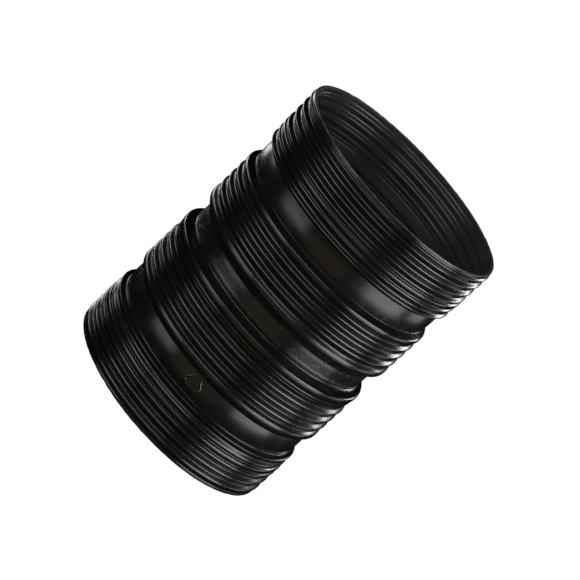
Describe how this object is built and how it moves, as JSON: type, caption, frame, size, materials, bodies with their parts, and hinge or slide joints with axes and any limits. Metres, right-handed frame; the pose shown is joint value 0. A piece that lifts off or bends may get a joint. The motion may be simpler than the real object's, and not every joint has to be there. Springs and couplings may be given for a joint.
{
  "type": "pipe coupling",
  "caption": "Black ribbed push-fit sleeve that joins corrugated cable conduit end to end, with a sealing ring in each socket.",
  "frame": {"origin": "centre of the coupling, on the bore axis, midway between the two rims", "axes": "+Z along the bore towards the upper mouth; the part is round, so X and Y are free; the upper mouth is the one with the longer ribbed band"},
  "size_m": [0.118, 0.118, 0.158],
  "materials": {
    "black_polyethylene": "semi-gloss black blow-moulded high-density polyethylene",
    "seal_rubber": "matt black EPDM rubber"
  },
  "bodies": {
    "root": {"coupling_sleeve": "black_polyethylene", "upper_sealing_ring": "seal_rubber", "lower_sealing_ring": "seal_rubber"}
  },
  "joints": []
}
